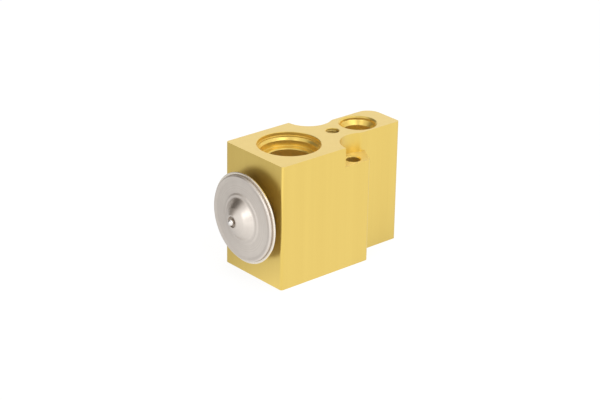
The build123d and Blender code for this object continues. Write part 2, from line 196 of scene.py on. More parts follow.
def turned(
    name: str, corners: Sequence[Corner], axis: TurningAxis, material: Material, segments: int = 192
) -> Object:
    """Turn a closed profile round an axis.

    Args:
        name: the piece's name.
        corners: profile corners (along, radius[, rounding]).
        axis: what it is turned round.
        material: its finish.
        segments: flats round the full circle.

    Returns:
        A closed, smooth object.
    """
    mesh = bmesh.new()
    profile = rounded(corners)
    first, second = axis.across()
    rings = []
    for along, radius in profile:
        centre = Vector(axis.origin) + Vector(axis.direction) * along
        if radius < ON_AXIS:
            rings.append([mesh.verts.new(centre)])
            continue
        ring = []
        for k in range(segments):
            turn = math.tau * k / segments
            ring.append(mesh.verts.new(centre + (first * math.cos(turn) + second * math.sin(turn)) * radius))
        rings.append(ring)
    for i, ring in enumerate(rings):
        other = rings[(i + 1) % len(rings)]
        if len(ring) == 1 and len(other) == 1:
            continue
        for k in range(segments):
            j = (k + 1) % segments
            quad = [ring[k % len(ring)], ring[j % len(ring)], other[j % len(other)], other[k % len(other)]]
            mesh.faces.new(list(dict.fromkeys(quad)))
    return finished_object(name, mesh, material)


def raised(name: str, outline: Sequence[Point], low: float, high: float, material: Material) -> Object:
    """Raise a flat outline from one level to another.

    Args:
        name: the piece's name.
        outline: plan points in order.
        low: level of its lower face.
        high: level of its upper face.
        material: its finish.

    Returns:
        A closed object.
    """
    mesh = bmesh.new()
    rings = [[mesh.verts.new((x, y, level)) for x, y in outline] for level in (low, high)]
    mesh.faces.new(reversed(rings[0]))
    mesh.faces.new(rings[1])
    for k in range(len(outline)):
        j = (k + 1) % len(outline)
        mesh.faces.new((rings[0][k], rings[0][j], rings[1][j], rings[1][k]))
    return finished_object(name, mesh, material)


def cut(target: Object, tool: Object) -> None:
    """Cut a tool's shape out of the target and throw the tool away.

    Args:
        target: the object that is cut; the cut faces take the tool's material.
        tool: the cutter.
    """
    step = target.modifiers.new("cut", "BOOLEAN")
    step.operation = "DIFFERENCE"
    step.solver = "EXACT"
    step.material_mode = "TRANSFER"
    step.object = tool
    apply_modifiers(target)
    bpy.data.objects.remove(tool)


def ease_edges(obj: Object, width: float, wanted: Callable[[bmesh.types.BMEdge], bool]) -> None:
    """Round the sharp edges of an object.

    Args:
        obj: the object.
        width: width of the rounding in millimetres.
        wanted: says of a sharp edge, in metres, if it is rounded.
    """
    mesh = bmesh.new()
    mesh.from_mesh(obj.data)
    weight = mesh.edges.layers.float.new("bevel_weight_edge")
    for edge in mesh.edges:
        if len(edge.link_faces) == 2 and edge.calc_face_angle(0) > EASED_OVER:
            edge[weight] = float(wanted(edge))
    mesh.to_mesh(obj.data)
    mesh.free()
    ease = obj.modifiers.new("eased edges", "BEVEL")
    ease.limit_method = "WEIGHT"
    ease.width = width * MM
    ease.segments = EASE_SEGMENTS
    ease.harden_normals = True
    flat = obj.modifiers.new("flat faces", "WEIGHTED_NORMAL")
    flat.keep_sharp = True
    flat.weight = 80


def paint_part(obj: Object, material: Material, wanted: Callable[[float, float], bool]) -> None:
    """Give some faces of a piece turned round the valve's axis another finish.

    Args:
        obj: the piece.
        material: the other finish.
        wanted: says of a face's length along the axis and its radius if the face takes it.
    """
    obj.data.materials.append(material)
    for face in obj.data.polygons:
        x, y, z = face.center / MM
        if wanted(x - HEAD_FACE, math.hypot(y, z - AXIS_HEIGHT)):
            face.material_index = len(obj.data.materials) - 1


def report(obj: Object, body: str, slot: str, *nodes: str) -> None:
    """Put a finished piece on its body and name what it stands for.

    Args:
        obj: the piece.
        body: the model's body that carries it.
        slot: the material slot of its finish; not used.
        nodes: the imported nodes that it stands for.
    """
    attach(obj, body)
    if nodes:
        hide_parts(*nodes)
    count, named = len(obj.data.polygons), ", ".join(nodes) or "no node"
    log.info("%s: %d faces on %s, for %s", obj.name, count, body, named)


# Shading


class Nodes:
    """Short way to add and join nodes in a tree."""

    def __init__(self, tree: NodeTree) -> None:
        """Work in this tree."""
        self.tree = tree

    def fill(self, node: Node, values: Inputs) -> None:
        """Set a node's inputs.

        Args:
            node: the node.
            values: constants or output sockets by the input's name or place.
        """
        for key, value in values.items():
            if isinstance(value, NodeSocket):
                self.tree.links.new(value, node.inputs[key])
            else:
                node.inputs[key].default_value = value

    def add(self, kind: str, values: Inputs | None = None, **settings: object) -> Node:
        """Add a node.

        Args:
            kind: the node's type name.
            values: constants or output sockets for its inputs.
            settings: the node's own properties.

        Returns:
            The node.
        """
        node = self.tree.nodes.new(kind)
        for key, value in settings.items():
            setattr(node, key, value)
        self.fill(node, values or {})
        return node

    def math(self, operation: str, *values: object) -> NodeSocket:
        """Output of a math node."""
        return self.add("ShaderNodeMath", dict(enumerate(values)), operation=operation).outputs[0]

    def vector(self, operation: str, *values: object, output: int = 0) -> NodeSocket:
        """Output of a vector math node."""
        node = self.add("ShaderNodeVectorMath", dict(enumerate(values)), operation=operation)
        return node.outputs[output]

    def noise(self, place: NodeSocket, scale: object, detail: float, rough: float = 0.5) -> NodeSocket:
        """Strength of a noise at a place in space."""
        values = {"Vector": place, "Scale": scale, "Detail": detail, "Roughness": rough}
        return self.add("ShaderNodeTexNoise", values).outputs["Fac"]

    def span(
        self, value: object, low: float, high: float, start: object = 0.0, end: float = 1.0
    ) -> NodeSocket:
        """Value moved from between low and high to between start and end."""
        ends = {"Value": value, "From Min": low, "From Max": high, "To Min": start, "To Max": end}
        return self.add("ShaderNodeMapRange", ends).outputs["Result"]

    def mix(self, factor: object, first: object, second: object) -> NodeSocket:
        """Number between two others."""
        return self.add("ShaderNodeMix", {"Factor": factor, 2: first, 3: second}).outputs[0]

    def mix_colours(self, factor: object, first: Colour, second: Colour) -> NodeSocket:
        """Colour between two others."""
        values = {"Factor": factor, 6: (*first, 1), 7: (*second, 1)}
        return self.add("ShaderNodeMix", values, data_type="RGBA").outputs[2]

    def bump(self, height: object, strength: float, depth: float) -> NodeSocket:
        """Normal of a surface with bumps of this depth in metres."""
        values = {"Height": height, "Strength": strength, "Distance": depth}
        return self.add("ShaderNodeBump", values).outputs["Normal"]


class Group:
    """A shader node group under construction."""

    def __init__(self, name: str, inputs: dict[str, float | Direction], outputs: Sequence[str]) -> None:
        """Open a group.

        Args:
            name: the group's name.
            inputs: default number or vector by name.
            outputs: names of the numbers that it gives.
        """
        self.tree = bpy.data.node_groups.new(name, "ShaderNodeTree")
        face = self.tree.interface
        for label, value in inputs.items():
            kind = "NodeSocketVector" if isinstance(value, tuple) else "NodeSocketFloat"
            face.new_socket(label, in_out="INPUT", socket_type=kind).default_value = value
        for label in outputs:
            face.new_socket(label, in_out="OUTPUT", socket_type="NodeSocketFloat")
        self.nodes = Nodes(self.tree)
        self.given = self.nodes.add("NodeGroupInput").outputs

    def close(self, values: Inputs) -> NodeTree:
        """Join the outputs and hand over the group."""
        self.nodes.add("NodeGroupOutput", values)
        return self.tree


def drawn_lines_group() -> NodeTree:
    """Fine lines along Z, as an extruding die leaves them.

    Returns:
        A group with outputs Height, for bumps, and Shade, for colour and gloss.
    """
    group = Group("drawn lines", {"Place": (0, 0, 0), "Fineness": 2500.0}, ("Height", "Shade"))
    nodes = group.nodes
    fine = nodes.vector("MULTIPLY", group.given["Place"], (1.0, 1.0, 0.012))
    lines = nodes.noise(fine, group.given["Fineness"], 3.0)
    broad = nodes.noise(fine, 260.0, 2.0)
    shade = nodes.math("ADD", nodes.math("MULTIPLY", lines, 0.35), nodes.math("MULTIPLY", broad, 0.65))
    return group.close({"Height": lines, "Shade": shade})


def turned_rings_group() -> NodeTree:
    """Rings that a turning tool leaves round an axis, on walls and on ledges alike.

    Returns:
        A group with outputs Height and Shade.
    """
    inputs = {"Place": (0, 0, 0), "Centre": (0, 0, 0), "Direction": (0, 0, 1), "Fineness": 4000.0}
    group = Group("turned rings", inputs, ("Height", "Shade"))
    nodes, given = group.nodes, group.given
    offset = nodes.vector("SUBTRACT", given["Place"], given["Centre"])
    along = nodes.vector("DOT_PRODUCT", offset, given["Direction"], output=1)
    lengthwise = nodes.add(
        "ShaderNodeVectorMath", {0: given["Direction"], "Scale": along}, operation="SCALE").outputs[0]
    radius = nodes.vector("LENGTH", nodes.vector("SUBTRACT", offset, lengthwise), output=1)
    values = {"W": nodes.math("ADD", along, radius), "Scale": given["Fineness"], "Detail": 2.0}
    rings = nodes.add("ShaderNodeTexNoise", values, noise_dimensions="1D").outputs["Fac"]
    patches = nodes.noise(offset, 320.0, 3.0)
    shade = nodes.math("ADD", nodes.math("MULTIPLY", rings, 0.6), nodes.math("MULTIPLY", patches, 0.4))
    return group.close({"Height": rings, "Shade": shade})


def handling_marks_group() -> NodeTree:
    """Sparse small rubs and specks from handling.

    Returns:
        A group with one output, Mask, from 0 to 1.
    """
    group = Group("handling marks", {"Place": (0, 0, 0), "Amount": 0.5}, ("Mask",))
    nodes, place = group.nodes, group.given["Place"]
    bent = nodes.vector("MULTIPLY", place, (1.0, 1.3, 0.45))
    specks = nodes.span(nodes.noise(bent, 1400.0, 5.0, 0.62), 0.6, 0.74)
    areas = nodes.span(nodes.noise(place, 90.0, 2.0), 0.45, 0.62)
    seen = nodes.math("MULTIPLY", specks, areas)
    return group.close({"Mask": nodes.math("MULTIPLY", seen, group.given["Amount"])})


DRAWN_LINES = drawn_lines_group()
TURNED_RINGS = turned_rings_group()
HANDLING_MARKS = handling_marks_group()


def new_material(name: str) -> tuple[Material, Nodes, Node, Node]:
    """Open a node material.

    Args:
        name: its name.

    Returns:
        The material, its nodes, its shader and a node that gives coordinates.
    """
    made = bpy.data.materials.new(name)
    made.use_nodes = True
    nodes = Nodes(made.node_tree)
    return made, nodes, made.node_tree.nodes["Principled BSDF"], nodes.add("ShaderNodeTexCoord")


@dataclass(frozen=True)
class MetalFinish:
    """A bare, plated or anodised metal with the marks of its making.

    Its colour and its shaded colour follow the marks, and its roughness swings by the spread.
    """

    name: str
    colour: Colour
    shaded: Colour
    roughness: float
    spread: float
    machining: Cut = Cut.TURNED
    axis: TurningAxis = VALVE_AXIS
    metallic: float = 1.0
    coat: float = 0.0
    coat_roughness: float = 0.3
    bump: float = 0.25
    fineness: float = 4000.0
    marks: float = 0.3

    def pattern(self, nodes: Nodes, place: NodeSocket, machining: Cut) -> Node:
        """Place the group that draws one kind of machining marks.

        Args:
            nodes: the material's nodes.
            place: object coordinates.
            machining: which marks.

        Returns:
            The group node.
        """
        if machining is Cut.DRAWN:
            values = {"Place": place, "Fineness": self.fineness}
            return nodes.add("ShaderNodeGroup", values, node_tree=DRAWN_LINES)
        centre, direction, fineness = self.axis.origin, self.axis.direction, self.fineness
        if machining is Cut.FACED:
            centre, direction, fineness = FACING_CENTRE, (0, 0, 1), FACING_FINENESS
        middle = tuple(c * MM for c in centre)
        values = {"Place": place, "Centre": middle, "Direction": direction, "Fineness": fineness}
        return nodes.add("ShaderNodeGroup", values, node_tree=TURNED_RINGS)

    def material(self) -> Material:
        """Build the material.

        Returns:
            A node material that reads object coordinates only.
        """
        made, nodes, shader, coordinates = new_material(self.name)
        place = coordinates.outputs["Object"]
        marks = self.pattern(nodes, place, Cut.DRAWN if self.machining is Cut.FACED else self.machining)
        height, shade = marks.outputs["Height"], marks.outputs["Shade"]
        if self.machining is Cut.FACED:
            faced = self.pattern(nodes, place, Cut.FACED)
            up = nodes.add("ShaderNodeSeparateXYZ", {0: coordinates.outputs["Normal"]}).outputs["Z"]
            level = nodes.math("GREATER_THAN", nodes.math("ABSOLUTE", up), LEVEL_FACE)
            height = nodes.mix(level, height, faced.outputs["Height"])
            shade = nodes.mix(level, shade, faced.outputs["Shade"])
        rubs = nodes.add("ShaderNodeGroup", {"Place": place, "Amount": self.marks}, node_tree=HANDLING_MARKS)
        rubbed = nodes.math("MULTIPLY", rubs.outputs["Mask"], RUB_ROUGHNESS)
        rough = nodes.span(shade, *NOISE_SPAN, self.roughness - self.spread, self.roughness + self.spread)
        nodes.fill(shader, {
            "Base Color": nodes.mix_colours(nodes.span(shade, *NOISE_SPAN), self.colour, self.shaded),
            "Roughness": nodes.math("ADD", rough, rubbed), "Metallic": self.metallic,
            "Normal": nodes.bump(height, self.bump, MARK_DEPTH),
            "Coat Weight": self.coat, "Coat Roughness": self.coat_roughness,
        })
        return made


@dataclass(frozen=True)
class RubberFinish:
    """Matt seal rubber with a fine grain."""

    name: str
    colour: Colour = (0.018, 0.022, 0.02)

    def material(self) -> Material:
        """Build the material.

        Returns:
            A dark, slightly uneven rubber.
        """
        made, nodes, shader, coordinates = new_material(self.name)
        grain = nodes.noise(coordinates.outputs["Object"], 3500.0, 4.0)
        nodes.fill(shader, {
            "Base Color": (*self.colour, 1),
            "Roughness": nodes.span(grain, *NOISE_SPAN, 0.55, 0.75),
            "Normal": nodes.bump(grain, 0.3, GRAIN_DEPTH),
        })
        return made


GOLD = ((0.81, 0.59, 0.132), (0.78, 0.56, 0.12))
BORED_GOLD = ((0.86, 0.63, 0.165), (0.79, 0.56, 0.13))
MILLED_GOLD = ((0.86, 0.68, 0.26), (0.82, 0.63, 0.21))
# Darker gold: painted shade on the thread ridges inside the holes.
THREAD_GOLD = ((0.58, 0.42, 0.13), (0.44, 0.31, 0.09))
FACE_STEEL = ((0.77, 0.705, 0.64), (0.70, 0.64, 0.58))
# Lighter copy of the head's steel: painted highlight on the back cover's rim band.
BAND_STEEL = ((0.93, 0.86, 0.75), (0.86, 0.79, 0.69))
# Dark steel: weld tint on the rim seam, and painted shade in the crater round the filling ball.
TINTED_STEEL = ((0.50, 0.43, 0.36), (0.32, 0.26, 0.21))
# Darker copy of the head's steel: painted shade on the back of the back cover.
PICKLED_STEEL = ((0.46, 0.405, 0.32), (0.38, 0.33, 0.26))
BALL_STEEL = ((0.86, 0.83, 0.80), (0.78, 0.75, 0.72))
BAR_STEEL = ((0.58, 0.57, 0.56), (0.50, 0.49, 0.48))
SPRING_STEEL = ((0.50, 0.50, 0.51), (0.42, 0.42, 0.43))
BEARING_STEEL = ((0.74, 0.74, 0.76), (0.68, 0.68, 0.70))
ALUMINIUM = ((0.80, 0.80, 0.81), (0.70, 0.70, 0.71))
BRASS = ((0.70, 0.50, 0.22), (0.60, 0.42, 0.17))


def bored(name: str, axis: TurningAxis) -> Material:
    """Anodised finish of a hole that was turned or drilled."""
    return MetalFinish(name, *BORED_GOLD, 0.33, 0.05, axis=axis, metallic=0.78, bump=0.3).material()


# Baked trees


class BakedTree:
    """A geometry tree with named inputs, baked to a plain mesh."""

    lengths: tuple[str, ...] = ()
    smooth_under = math.radians(50)

    def __init__(self, name: str, numbers: Sequence[str], counts: Sequence[str]) -> None:
        """Open the tree.

        Args:
            name: the tree's name.
            numbers: its inputs that take any number.
            counts: its inputs that take a whole number. A finish is added to them.
        """
        self.tree = bpy.data.node_groups.new(name, "GeometryNodeTree")
        face = self.tree.interface
        for kind, labels in (("Float", numbers), ("Int", counts), ("Material", ("Finish",))):
            for label in labels:
                face.new_socket(label, in_out="INPUT", socket_type=f"NodeSocket{kind}")
        face.new_socket("Geometry", in_out="OUTPUT", socket_type="NodeSocketGeometry")
        self.nodes = Nodes(self.tree)
        self.given = self.nodes.add("NodeGroupInput").outputs

    def close(self, geometry: NodeSocket) -> None:
        """Realise the instances, set the finish and end the tree.

        Args:
            geometry: what the tree makes.
        """
        whole = self.nodes.add("GeometryNodeRealizeInstances", {"Geometry": geometry})
        dressed = self.nodes.add(
            "GeometryNodeSetMaterial", {"Geometry": whole.outputs[0], "Material": self.given["Finish"]})
        self.nodes.add("NodeGroupOutput", {"Geometry": dressed.outputs[0]})

    def bake(self, name: str, axis: TurningAxis, values: dict[str, float], material: Material) -> Object:
        """Make one mesh with these values.

        Args:
            name: the piece's name.
            axis: where the tree's origin goes, and where its +Z points.
            values: the inputs, with lengths in millimetres.
            material: its finish.

        Returns:
            A plain mesh object in its place, with its faces outwards.
        """
        piece = new_object(name, bpy.data.meshes.new(name))
        modifier = piece.modifiers.new(self.tree.name, "NODES")
        modifier.node_group = self.tree
        sockets = {s.name: s.identifier for s in self.tree.interface.items_tree if s.in_out == "INPUT"}
        for label, value in values.items():
            modifier[sockets[label]] = value * MM if label in self.lengths else value
        modifier[sockets["Finish"]] = material
        apply_modifiers(piece)
        baked = piece.data
        baked.transform(axis.frame())
        mesh = bmesh.new()
        mesh.from_mesh(baked)
        bmesh.ops.recalc_face_normals(mesh, faces=mesh.faces)
        mesh.to_mesh(baked)
        mesh.free()
        baked.shade_smooth()
        baked.set_sharp_from_angle(angle=self.smooth_under)
        return piece


@dataclass(frozen=True)
class ThreadSize:
    """Sizes of one thread ridge in millimetres.

    The radius is to the middle of its square section, and the section is half that square's diagonal.
    """

    radius: float
    turns: float
    pitch: float
    section: float


class CoilTree(BakedTree):
    """A section swept along a right-handed helix, for threads."""

    lengths = ("Radius", "Length", "Section")
    sides = 4
    steps = 72

    def __init__(self) -> None:
        """Build the tree."""
        super().__init__("coil", ("Radius", "Turns", "Length", "Section"), ())
        given, nodes = self.given, self.nodes
        helix = nodes.add("GeometryNodeCurveSpiral", {
            "Resolution": self.steps, "Rotations": given["Turns"], "Height": given["Length"],
            "Start Radius": given["Radius"], "End Radius": given["Radius"], "Reverse": True,
        })
        upright = nodes.add("GeometryNodeSetCurveNormal", {"Curve": helix.outputs["Curve"]}, mode="Z_UP")
        section = nodes.add("GeometryNodeCurvePrimitiveCircle", {
            "Resolution": self.sides, "Radius": given["Section"]})
        swept = nodes.add("GeometryNodeCurveToMesh", {
            "Curve": upright.outputs[0], "Profile Curve": section.outputs["Curve"], "Fill Caps": True})
        self.close(swept.outputs["Mesh"])

    def thread(self, name: str, axis: TurningAxis, size: ThreadSize, material: Material) -> Object:
        """Bake one thread ridge.

        Args:
            name: the piece's name.
            axis: where the thread starts and which way it runs.
            size: its sizes.
            material: its finish.

        Returns:
            The ridge.
        """
        values = {"Radius": size.radius, "Turns": size.turns, "Section": size.section}
        return self.bake(name, axis, {**values, "Length": size.turns * size.pitch}, material)


class WeldTree(BakedTree):
    """Overlapping scales round a circle, as a pulsed weld leaves them."""

    lengths = ("Radius", "Scale Size")

    def __init__(self) -> None:
        """Build the tree."""
        super().__init__("weld scales", ("Radius", "Scale Size"), ("Count", "Seed"))
        given, nodes = self.given, self.nodes
        seam = nodes.add("GeometryNodeCurvePrimitiveCircle", {
            "Resolution": given["Count"], "Radius": given["Radius"]})
        places = nodes.add("GeometryNodeCurveToPoints", {
            "Curve": seam.outputs["Curve"], "Count": given["Count"]})
        scale = nodes.add("GeometryNodeMeshUVSphere", {
            "Radius": given["Scale Size"], "Segments": 8, "Rings": 5})
        uneven = nodes.add("FunctionNodeRandomValue", {
            2: 0.88, 3: 1.12, "Seed": given["Seed"]}, data_type="FLOAT")
        laid = nodes.add("GeometryNodeInstanceOnPoints", {
            "Points": places.outputs["Points"], "Instance": scale.outputs["Mesh"],
            "Rotation": places.outputs["Rotation"], "Scale": uneven.outputs[1],
        })
        self.close(laid.outputs["Instances"])


# Sub-assemblies


@dataclass
class Port:
    """One port or hole with an upright axis."""

    name: str
    along: float
    upward: bool
    corners: list[Corner]

    def axis(self) -> TurningAxis:
        """Axis from the port's face into the block."""
        level, sense = (PORT_HEIGHT, -1.0) if self.upward else (0.0, 1.0)
        return TurningAxis((HEAD_FACE + self.along, 0.0, level), (0.0, 0.0, sense))

    def tool(self) -> Object:
        """Cutter of the port, from (depth, radius) corners."""
        axis = self.axis()
        return turned(self.name, self.corners, axis, bored(f"{self.name}_finish", axis))


@dataclass
class ValveBlock:
    """The anodised block with its ports, pockets, holes and stud thread."""

    near_half: float = 16.6
    far_half: float = 8.6
    lug_end: float = 43.4
    slant_run: float = 4.62
    length: float = 66.0
    far_corner: float = 5.6
    corner: float = 1.0
    bolts_at: float = 38.8
    bolt_spread: float = 24.4
    bolt_r: float = 2.75
    pocket_r: float = 9.6
    pocket_at: float = 40.6
    pocket_floor: float = 42.2
    suction_at: float = 17.0
    inlet_at: float = 51.9
    outlet_at: float = 42.6
    edge: float = 0.4
    pocket_blend: float = 3.0
    clear_of_suction: float = 12.7
    clear_of_liquid: float = 7.9
    clear_of_stud: float = 3.2
    clear_of_neck: float = 13.1
    clear_of_screw: float = 7.3
    stud_thread: ThreadSize = ThreadSize(2.52, 14.5, 0.8, 0.39)
    stud_thread_from: float = 12.4
    screw_bore_thread: ThreadSize = ThreadSize(6.66, 5.0, 1.0, 0.26)
    screw_thread_from: float = 60.4

    def plan(self) -> list[Point]:
        """Plan of the block, as it is drawn.

        Returns:
            The outline's points.
        """
        near, far, slant = self.near_half, self.far_half, self.lug_end + self.slant_run
        side = [(0.0, near), (self.lug_end, near), (slant, far), (self.length, far)]
        right = [(HEAD_FACE + a, -y, self.corner) for a, y in side]
        left = [(x, -y, corner) for x, y, corner in reversed(right)]
        left[0] = (*left[0][:2], self.far_corner)
        return rounded(right + left, step=12.0)

    def pocket_plan(self, side: int) -> list[Point]:
        """Plan of one bolt-head pocket: the cutter's round end, led softly into the far part's side.

        Args:
            side: 1 for the +Y side, -1 for the -Y side.

        Returns:
            The outline's points.
        """
        centre, beyond = HEAD_FACE + self.pocket_at, self.near_half + 3.0
        deep, both = self.near_half - self.far_half + self.pocket_blend, self.pocket_r + self.pocket_blend
        turn_out, run = math.asin(deep / both), math.sqrt(both**2 - deep**2)
        turns = [math.pi + (math.pi - turn_out) * k / 60 for k in range(61)]
        blends = [math.pi - turn_out - (math.pi / 2 - turn_out) * k / 12 for k in range(1, 13)]
        arcs = (
            (centre, self.near_half, self.pocket_r, turns),
            (centre + run, self.far_half - self.pocket_blend, self.pocket_blend, blends),
        )
        outline = [(x + r * math.cos(turn), y + r * math.sin(turn)) for x, y, r, arc in arcs for turn in arc]
        end = HEAD_FACE + self.length
        outline += [(end, self.far_half), (end, beyond), (centre - self.pocket_r, beyond)]
        return [(x, side * y) for x, y in outline]

    def ports(self) -> list[Port]:
        """The ports and the stud hole.

        Returns:
            Them all, with corners (depth, radius[, rounding]).
        """
        suction = [
            (-2, 0), (-2, 12.4), (0, 12.4), (0.2, 12.2), (1.4, 12.2, 0.08), (1.4, 11.8, 0.1),
            (1.9, 11.8, 0.15), (2.9, 11.0, 0.3), (5.3, 11.0, 0.3), (5.3, 8.8), (5.7, 8.4), (25.05, 8.4),
            (25.05, 0),
        ]
        liquid = [
            (-2, 0), (-2, 7.6), (0, 7.6), (0.6, 7.0), (1.4, 7.0, 0.15), (3.1, 5.9, 0.15), (3.2, 5.8),
            (9.0, 5.8, 0.1),
        ]
        inlet = liquid + [(10.2, 3.2, 0.2), (24.6, 3.2), (24.6, 0)]
        outlet = liquid + [(10.2, 3.6, 0.2), (29.0, 3.6), (30.2, 0)]
        stud = [(-2, 0), (-2, 2.8), (0, 2.8), (0.25, 2.55), (12.2, 2.55), (13.6, 0)]
        return [
            Port("suction_upper", self.suction_at, True, suction),
            Port("suction_lower", self.suction_at, False, suction),
            Port("liquid_inlet", self.inlet_at, True, inlet),
            Port("liquid_outlet", self.outlet_at, False, outlet),
            Port("stud_hole", self.bolts_at, True, stud),
        ]

    def valve_bore(self) -> list[Corner]:
        """Profile of the bore along the valve's axis.

        Returns:
            Corners (along, radius).
        """
        return [
            (-2, 0), (-2, 12.5), (1.5, 12.5), (1.5, 10.6), (6.6, 10.6), (6.6, 4.2), (17.0, 4.2), (17.0, 3.05),
            (30.2, 3.05), (30.2, 2.65), (32.0, 2.65), (32.0, 1.2), (42.6, 1.2), (42.6, 1.9), (48.25, 1.9),
            (48.8, 2.45), (48.8, 5.6), (60.2, 5.6), (60.2, 6.62), (65.7, 6.62), (66.0, 6.95), (68, 6.95),
            (68, 0),
        ]

    def build(self) -> Object:
        """Cut the block out of the drawn bar.

        Returns:
            The block, with eased edges.
        """
        above, below = PORT_HEIGHT + 2, -2
        skin = MetalFinish(
            "anodised_block", *GOLD, 0.36, 0.03, Cut.FACED,
            coat=0.75, coat_roughness=0.32, bump=0.10, fineness=2600.0, marks=0.35,
        ).material()
        milled = MetalFinish(
            "milled_pocket", *MILLED_GOLD, 0.42, 0.04, Cut.FACED,
            metallic=0.5, coat=0.3, bump=0.12, fineness=1800.0,
        ).material()
        block = raised("block", self.plan(), 0.0, PORT_HEIGHT, skin)
        for side in (-1, 1):
            cut(block, raised("pocket", self.pocket_plan(side), self.pocket_floor, above, skin))
            hole = TurningAxis((HEAD_FACE + self.bolts_at, side * self.bolt_spread / 2, below), (0, 0, 1))
            rise, top, wide = self.pocket_floor - below, above - below, self.bolt_r + self.edge
            drill = [(0, 0), (0, self.bolt_r), (rise - self.edge, self.bolt_r)]
            drill += [(rise, wide), (top, wide), (top, 0)]
            cut(block, turned("bolt_hole", drill, hole, bored("bolt_hole_finish", hole), SMALL_SEGMENTS))
        for port in self.ports():
            cut(block, port.tool())
        finish = bored("valve_bore_finish", VALVE_AXIS)
        cut(block, turned("valve_bore", self.valve_bore(), VALVE_AXIS, finish))
        block.data.materials.append(milled)
        for face in block.data.polygons:
            if abs(face.center.z / MM - self.pocket_floor) < SAME_LEVEL and face.normal.z > LEVEL_FACE:
                face.material_index = len(block.data.materials) - 1
        block.data.shade_smooth()
        block.data.set_sharp_from_angle(angle=SMOOTH_UNDER)
        ease_edges(block, self.edge, self.on_outside)
        return block

    def on_outside(self, edge: bmesh.types.BMEdge) -> bool:
        """Says if an edge of the block, in metres, is on its outer faces."""
        return all(self.outside(vertex.co / MM) for vertex in edge.verts)

    def outside(self, place: Vector) -> bool:
        """Tell the block's outer faces from its holes.

        Args:
            place: a point of the block in millimetres.

        Returns:
            True on an outer face, away from the ports and the bore's ends.
        """
        x, y, z = place
        along = x - HEAD_FACE
        mouths = {
            self.suction_at: self.clear_of_suction, self.inlet_at: self.clear_of_liquid,
            self.bolts_at: self.clear_of_stud, self.outlet_at: self.clear_of_liquid,
        }
        on_port_face = abs(z - PORT_HEIGHT / 2) > PORT_HEIGHT / 2 - 0.1
        in_port = on_port_face and any(math.hypot(along - at, y) < r for at, r in mouths.items())
        reach = math.hypot(y, z - AXIS_HEIGHT)
        near_end, far_end = along < SAME_LEVEL, along > self.length - SAME_LEVEL
        in_bore = (near_end and reach < self.clear_of_neck) or (far_end and reach < self.clear_of_screw)
        levels = (z, z - PORT_HEIGHT, z - self.pocket_floor, abs(y) - self.near_half)
        on_face = near_end or any(abs(level) < SAME_LEVEL for level in levels)
        return on_face and not in_port and not in_bore

    def dress(self, coils: CoilTree) -> None:
        """Build the block and its threads and put them on the body.

        Args:
            coils: the tree that makes the threads.
        """
        report(self.build(), "valve_block", "anodised_block", "valve_body")
        # Both threads lie inside holes and take a darker gold: painted shade.
        finish = MetalFinish("cut_thread_painted_shade", *THREAD_GOLD, 0.34, 0.05, bump=0.3).material()
        stud = TurningAxis((HEAD_FACE + self.bolts_at, 0, PORT_HEIGHT - self.stud_thread_from), (0, 0, 1))
        report(coils.thread("stud_thread", stud, self.stud_thread, finish), "valve_block", "anodised_block")
        bore = axis_from(self.screw_thread_from)
        thread = coils.thread("adjuster_bore_thread", bore, self.screw_bore_thread, finish)
        report(thread, "valve_block", "anodised_block")


